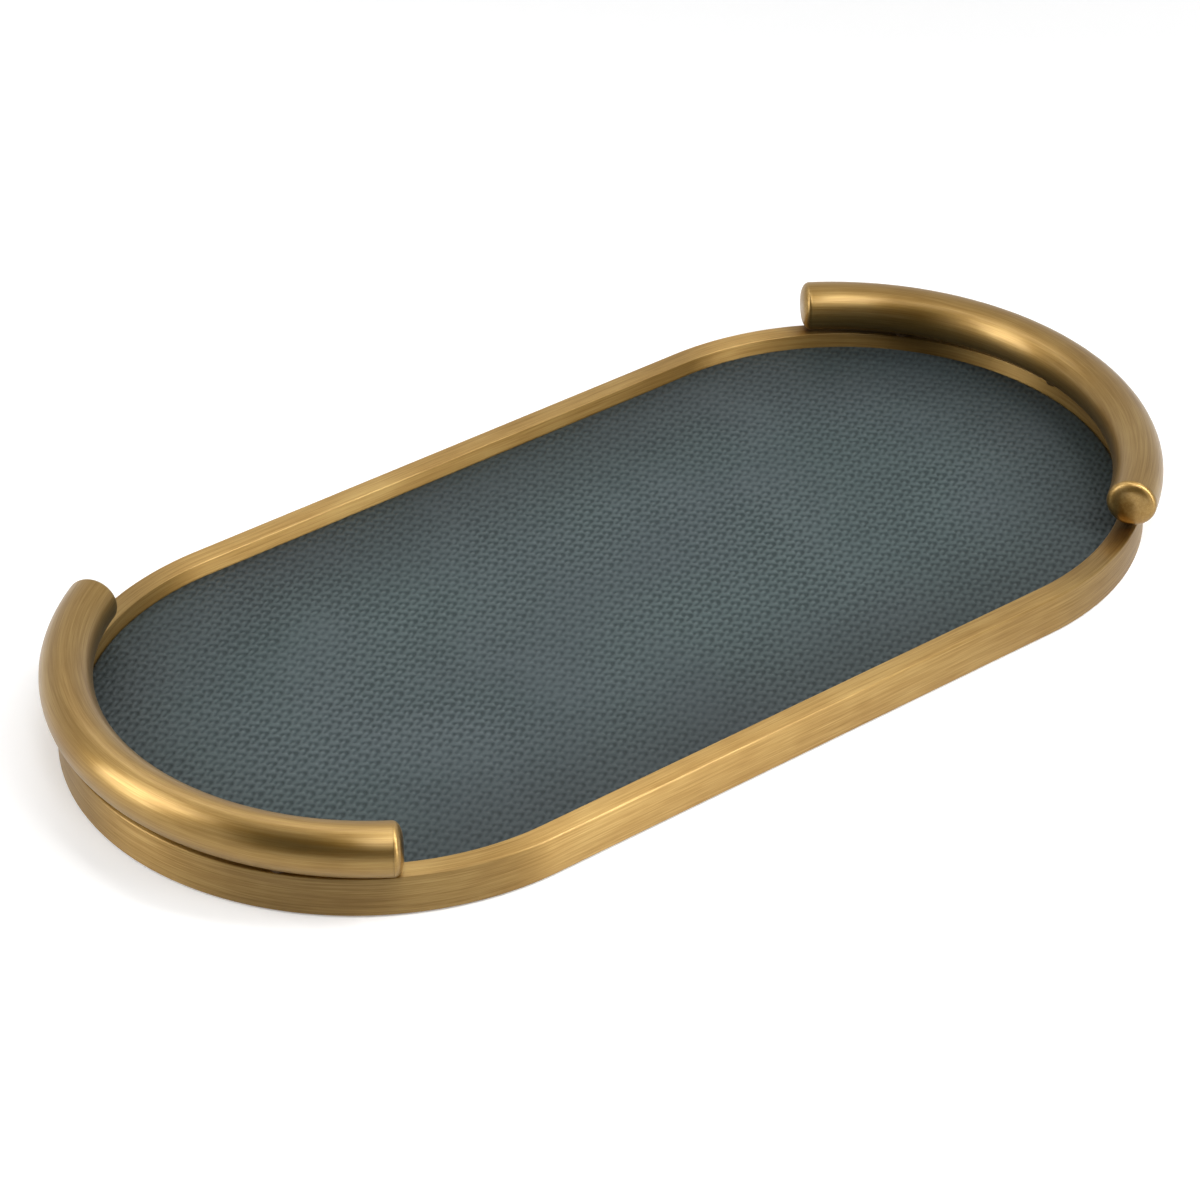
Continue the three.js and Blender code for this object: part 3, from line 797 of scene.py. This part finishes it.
def bend_tube(node, sizes):
    """A rod and its bore, both bent to one arc, with the bore, a little longer, cut out."""
    start = calculate(node, "MULTIPLY", sizes["Half angle"], -1.0)
    sweep = calculate(node, "MULTIPLY", sizes["Half angle"], 2.0)
    place = node("ShaderNodeCombineXYZ", {0: sizes["Bend centre"], 2: sizes["Tube height"]})
    rods = []
    for label, spare in (("Tube radius", 0.0), ("Bore radius", BORE_OVERRUN)):
        first = calculate(node, "SUBTRACT", start, spare)
        whole = calculate(node, "ADD", sweep, 2 * spare)
        arc = node("GeometryNodeCurveArc", {"Resolution": sizes["Steps"], "Radius": sizes["Bend radius"],
                                            "Start Angle": first, "Sweep Angle": whole})
        moved = node("GeometryNodeSetPosition", {"Geometry": arc.outputs[0], "Offset": place.outputs[0]})
        upright = node("GeometryNodeSetCurveNormal", {"Curve": moved.outputs[0]}, mode="Z_UP")
        circle = node("GeometryNodeCurvePrimitiveCircle", {"Resolution": sizes["Sides"],
                                                           "Radius": sizes[label]})
        rods.append(node("GeometryNodeCurveToMesh", {"Curve": upright.outputs[0],
                                                     "Profile Curve": circle.outputs[0], "Fill Caps": True}))
    tube = node("GeometryNodeMeshBoolean", {"Mesh 1": rods[0].outputs[0]},
                operation="DIFFERENCE", solver="EXACT")
    tube.id_data.links.new(rods[1].outputs[0], tube.inputs["Mesh 2"])
    turn = node("ShaderNodeCombineXYZ", {2: sizes["Turn"]})
    placed = node("GeometryNodeTransform", {"Geometry": tube.outputs[0], "Rotation": turn.outputs[0]})
    return placed.outputs[0]


for side, turn in (("right", 0.0), ("left", pi)):
    blank = new_mesh_object(f"handle_{side}_blank", [], [])
    bend = add_tree(blank, f"handle_{side}_bend", bend_tube, {
        "Tube radius": TUBE_RADIUS, "Bore radius": TUBE_BORE, "Bend radius": BEND_RADIUS,
        "Bend centre": BEND_CENTRE, "Tube height": TUBE_HEIGHT, "Half angle": HALF_ANGLE, "Turn": turn,
        "Steps": TUBE_STEPS, "Sides": TUBE_SIDES,
    }, handle_brass)
    bent = finished(blank, f"handle_{side}_bent", [bend])
    holes = []
    for n in (1, 2, 3):
        spot = middle(f"handle_{side}_screw_{n}")
        holes.append(turned([
            (0, RIM_TOP), (INSERT_HOLE, RIM_TOP), (INSERT_HOLE, TUBE_HEIGHT), (0, TUBE_HEIGHT),
        ], BORE_SIDES, Matrix.Translation((spot.x, spot.y, 0))))
    tube = bored(bent, f"handle_tube_{side}", holes)
    smooth(tube, EDGE_ANGLE)
    dress(tube, handle_brass, "brass", f"handle_{side}")


# Handle end caps. A turned brass plug closes each tube end with a full, flattened dome,
# and has a spigot pressed into the tube.
CAP_LENGTH = 0.0033
CAP_FULLNESS = 2.9
CAP_SEAM = 0.00001
CAP_STEPS = 24
SPIGOT_RADIUS = TUBE_BORE - 0.0004
SPIGOT_LENGTH = 0.005
SPIGOT_CHAMFER = 0.0008


def cap_profile():
    """Radius and height from the spigot's tip to the top of the dome."""
    profile = [(0, -SPIGOT_LENGTH), (SPIGOT_RADIUS - SPIGOT_CHAMFER, -SPIGOT_LENGTH),
               (SPIGOT_RADIUS, SPIGOT_CHAMFER - SPIGOT_LENGTH), (SPIGOT_RADIUS, CAP_SEAM),
               (TUBE_RADIUS - CAP_SEAM, CAP_SEAM), (TUBE_RADIUS, 2 * CAP_SEAM)]
    for k in range(1, CAP_STEPS):
        angle = pi / 2 * k / CAP_STEPS
        profile.append((TUBE_RADIUS * cos(angle) ** (2 / CAP_FULLNESS),
                        CAP_SEAM + (CAP_LENGTH - CAP_SEAM) * sin(angle)))
    profile.append((0, CAP_LENGTH))
    return profile


for side, turn in (("right", 0.0), ("left", pi)):
    for end, angle, outward in (("clockwise", -HALF_ANGLE, -1), ("anticlockwise", HALF_ANGLE, 1)):
        spot = Vector((BEND_CENTRE + BEND_RADIUS * cos(angle), BEND_RADIUS * sin(angle), TUBE_HEIGHT))
        along = Vector((-sin(angle) * outward, cos(angle) * outward, 0))
        lie = along.to_track_quat("Z", "Y").to_matrix().to_4x4()
        place = Matrix.Rotation(turn, 4, "Z") @ Matrix.Translation(spot) @ lie
        cap = joined(f"handle_cap_{side}_{end}", [turned(cap_profile(), TUBE_SIDES, place)])
        smooth(cap, angle=35)
        dress(cap, handle_brass, "brass", f"handle_{side}_cap_{end}")


# Handle spacers and inserts. Brass saddles, painted dark as shade, lift each tube clear
# of the rim, and threaded steel inserts sit in the tube above them. The modelled solids are used.
# Painted shade: the saddles' brass is made nearly black, standing in for the shade in the gap under the tube.
SPACER_SHADE = (0.045, 0.024, 0.008, 1)
SPACER_SHADE_PALE = (0.085, 0.048, 0.016, 1)


def painted_shade_brass():
    material, tree, shader, node = new_material("spacer_painted_shade_brass", SPACER_SHADE)
    place = node("ShaderNodeTexCoord").outputs["Object"]
    stain = node("ShaderNodeTexNoise", {"Vector": place, "Scale": 700.0, "Detail": 3.0})
    tree.links.new(ramp(node, stain.outputs["Fac"], [(0.4, SPACER_SHADE), (0.65, SPACER_SHADE_PALE)]),
                   shader.inputs["Base Color"])
    shader.inputs["Metallic"].default_value = 0.6
    shader.inputs["Roughness"].default_value = 0.65
    return material


saddle_brass = painted_shade_brass()
for side in ("right", "left"):
    for n in (1, 2, 3):
        finish_node(f"handle_{side}_spacer_{n}", saddle_brass)
        finish_node(f"handle_{side}_insert_{n}", steel)


# Handle screws. Socket head screws, driven up through the rim from counterbores in
# its foot, hold the handles down.
SCREW_HEAD_RADIUS = 0.0025
SCREW_HEAD_HEIGHT = 0.0020
SCREW_EASE = 0.00025
SCREW_SHANK_RADIUS = 0.0015
SCREW_SOCKET_FLATS = 0.0025
SCREW_SOCKET_RADIUS = SCREW_SOCKET_FLATS / sqrt(3)
SCREW_SOCKET_DEPTH = 0.0012
SOCKET_OVERRUN = 0.001
SCREW_SIDES = 32
screw_low, screw_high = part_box("handle_right_screw_1")


def set_screws(node, sizes):
    """One screw, head down, with a chamfered head, a shank and a six-sided socket, set at each point."""
    def rod(top, bottom, length, height, sides):
        made = node("GeometryNodeMeshCone", {"Vertices": sides, "Radius Top": top, "Radius Bottom": bottom,
                                             "Depth": length})
        lift = node("ShaderNodeCombineXYZ", {2: height})
        return node("GeometryNodeTransform", {"Geometry": made.outputs["Mesh"],
                                              "Translation": lift.outputs[0]}).outputs[0]

    head_radius, head_height, ease = sizes["Head radius"], sizes["Head height"], sizes["Head ease"]
    face_radius = calculate(node, "SUBTRACT", head_radius, ease)
    head = rod(head_radius, head_radius, calculate(node, "SUBTRACT", head_height, ease), ease, SCREW_SIDES)
    face = rod(head_radius, face_radius, ease, 0.0, SCREW_SIDES)
    shank = rod(sizes["Shank radius"], sizes["Shank radius"], sizes["Shank length"], head_height, SCREW_SIDES)
    key_length = calculate(node, "ADD", sizes["Socket depth"], SOCKET_OVERRUN)
    key = rod(sizes["Socket radius"], sizes["Socket radius"], key_length, -SOCKET_OVERRUN, 6)
    body = node("GeometryNodeMeshBoolean", {}, operation="UNION", solver="EXACT")
    for part in (head, face, shank):
        body.id_data.links.new(part, body.inputs["Mesh 2"])
    screw = node("GeometryNodeMeshBoolean", {"Mesh 1": body.outputs[0]},
                 operation="DIFFERENCE", solver="EXACT")
    screw.id_data.links.new(key, screw.inputs["Mesh 2"])
    points = node("GeometryNodeMeshToPoints", {"Mesh": sizes["Geometry"]})
    placed = node("GeometryNodeInstanceOnPoints", {"Points": points.outputs[0], "Instance": screw.outputs[0]})
    return placed.outputs[0]


spots = [middle(screw) for screw in handle_screws]
screw_points = new_mesh_object("screw_points", [(spot.x, spot.y, screw_low.z) for spot in spots], [])
screw_set = add_tree(screw_points, "handle_screw_set", set_screws, {
    "Head radius": SCREW_HEAD_RADIUS, "Head height": SCREW_HEAD_HEIGHT, "Head ease": SCREW_EASE,
    "Shank radius": SCREW_SHANK_RADIUS, "Shank length": screw_high.z - screw_low.z - SCREW_HEAD_HEIGHT,
    "Socket radius": SCREW_SOCKET_RADIUS, "Socket depth": SCREW_SOCKET_DEPTH,
}, steel)
screws = finished(screw_points, "handle_screws", [screw_set])
smooth(screws, EDGE_ANGLE)
dress(screws, steel, "steel", *handle_screws)


# Studio. Pale paper under the tray, white surroundings and six soft lights: left, front,
# right, above the camera, near and straight overhead. The side behind the camera is dark,
# and that shows in reflections only.
FLOOR = (0.86, 0.86, 0.86, 1)
FLOOR_INSET = 0.003
FLOOR_REACH = 8.0
FLOOR_POINTS = 96
FLOOR_GLOW_NEAR = 0.28
GLOW_START = 0.35
GLOW_END = 1.25
SURROUNDING_FILL = 0.08
BELOW_FILL = 0.9
DARK_AZIMUTH = radians(-50)
DARK_SHARE = 0.92
# Where the dark side fades from white to dark, as cosines of the angle to its two axes
DARK_SIDE_EDGE = (0.62, 0.38)
DARK_FRONT_EDGE = (0.08, 0.3)


def seen_rays(node):
    path = node("ShaderNodeLightPath").outputs
    rays = calculate(node, "MAXIMUM", path["Is Camera Ray"], path["Is Glossy Ray"])
    return calculate(node, "MAXIMUM", rays, path["Is Transmission Ray"])


def lay_floor():
    """Pale paper, open under the tray and not seen from below, so that the underside shows."""
    opening = [Vector((x, y, 0)) for x, y in pill_outline(FLOOR_INSET, FLOOR_POINTS)]
    far = [spot.normalized() * FLOOR_REACH for spot in opening]
    faces = []
    for k in range(FLOOR_POINTS):
        n = (k + 1) % FLOOR_POINTS
        faces.append((k, FLOOR_POINTS + k, FLOOR_POINTS + n, n))
    floor = new_mesh_object("floor", opening + far, faces)
    material = bpy.data.materials.new("floor")
    material.use_nodes = True
    tree = material.node_tree
    tree.nodes.clear()
    node = node_maker(tree)
    paper = node("ShaderNodeBsdfDiffuse", {"Color": FLOOR})
    place = node("ShaderNodeTexCoord").outputs["Object"]
    distance = node("ShaderNodeVectorMath", {0: place}, operation="LENGTH")
    lift = node("ShaderNodeMapRange", {"Value": distance.outputs["Value"],
                                       "From Min": GLOW_START, "From Max": GLOW_END,
                                       "To Min": FLOOR_GLOW_NEAR, "To Max": 1.0},
                interpolation_type="SMOOTHSTEP")
    strength = calculate(node, "MULTIPLY", seen_rays(node), lift.outputs[0])
    glow = node("ShaderNodeEmission", {"Strength": strength})
    both = node("ShaderNodeAddShader", {0: paper.outputs[0], 1: glow.outputs[0]})
    hidden = calculate(node, "MULTIPLY", node("ShaderNodeNewGeometry").outputs["Backfacing"],
                       node("ShaderNodeLightPath").outputs["Is Camera Ray"])
    shown = node("ShaderNodeMixShader", {0: hidden, 1: both.outputs[0],
                                         2: node("ShaderNodeBsdfTransparent").outputs[0]})
    node("ShaderNodeOutputMaterial", {"Surface": shown.outputs[0]})
    floor.data.materials.append(material)


def white_surroundings():
    """White all round, but reflections also show a dark camera side, as in any studio."""
    world = bpy.data.worlds.new("surroundings")
    scene.world = world
    world.use_nodes = True
    tree = world.node_tree
    background = tree.nodes["Background"]
    node = node_maker(tree)

    def part_of(axis):
        way = node("ShaderNodeTexCoord").outputs["Generated"]
        return node("ShaderNodeVectorMath", {0: way, 1: axis}, operation="DOT_PRODUCT").outputs["Value"]

    def step(value, start, end):
        return node("ShaderNodeMapRange", {"Value": value, "From Min": start, "From Max": end},
                    interpolation_type="SMOOTHSTEP").outputs[0]

    sideways = part_of((cos(DARK_AZIMUTH), sin(DARK_AZIMUTH), 0))
    aside = step(calculate(node, "ABSOLUTE", sideways), *DARK_SIDE_EDGE)
    ahead = step(part_of((sin(DARK_AZIMUTH), -cos(DARK_AZIMUTH), 0)), *DARK_FRONT_EDGE)
    mirrored = calculate(node, "SUBTRACT", 1.0, node("ShaderNodeLightPath").outputs["Is Camera Ray"])
    dark = calculate(node, "MULTIPLY", calculate(node, "MULTIPLY", aside, ahead),
                     calculate(node, "MULTIPLY", mirrored, DARK_SHARE))
    below = node("ShaderNodeMapRange", {"Value": part_of((0, 0, 1)), "From Min": 0.0, "From Max": -0.05,
                                        "To Min": SURROUNDING_FILL, "To Max": BELOW_FILL})
    strength = node("ShaderNodeMix", {"Factor": seen_rays(node), "A": below.outputs[0],
                                      "B": calculate(node, "SUBTRACT", 1.0, dark)})
    background.inputs["Color"].default_value = (1, 1, 1, 1)
    tree.links.new(strength.outputs[0], background.inputs["Strength"])


def softbox(name, azimuth, elevation, distance, width, height, brightness):
    """A soft light, aimed at the tray from an azimuth and elevation in degrees."""
    light = bpy.data.lights.new(name, "AREA")
    light.shape = "RECTANGLE"
    light.size = width
    light.size_y = height
    light.energy = brightness * pi * width * height
    lamp = bpy.data.objects.new(name, light)
    lamp.location = from_target(radians(azimuth), radians(elevation), distance)
    lamp.rotation_euler = (CAMERA_TARGET - lamp.location).to_track_quat("-Z", "Y").to_euler()
    scene.collection.objects.link(lamp)


lay_floor()
white_surroundings()
softbox("softbox_left", -116, 30, distance=0.92, width=0.36, height=0.7, brightness=4.5)
softbox("softbox_front", 25, 16, distance=1.4, width=0.32, height=0.7, brightness=6.0)
softbox("softbox_right", 76, 60, distance=2.2, width=1.1, height=0.7, brightness=3.2)
softbox("softbox_top", -34, 66, distance=1.77, width=0.5, height=1.0, brightness=4.4)
softbox("softbox_near", 29, 46, distance=0.73, width=0.16, height=0.42, brightness=12.2)
softbox("softbox_overhead", -90, 86.5, distance=0.5, width=1.1, height=0.12, brightness=3.2)
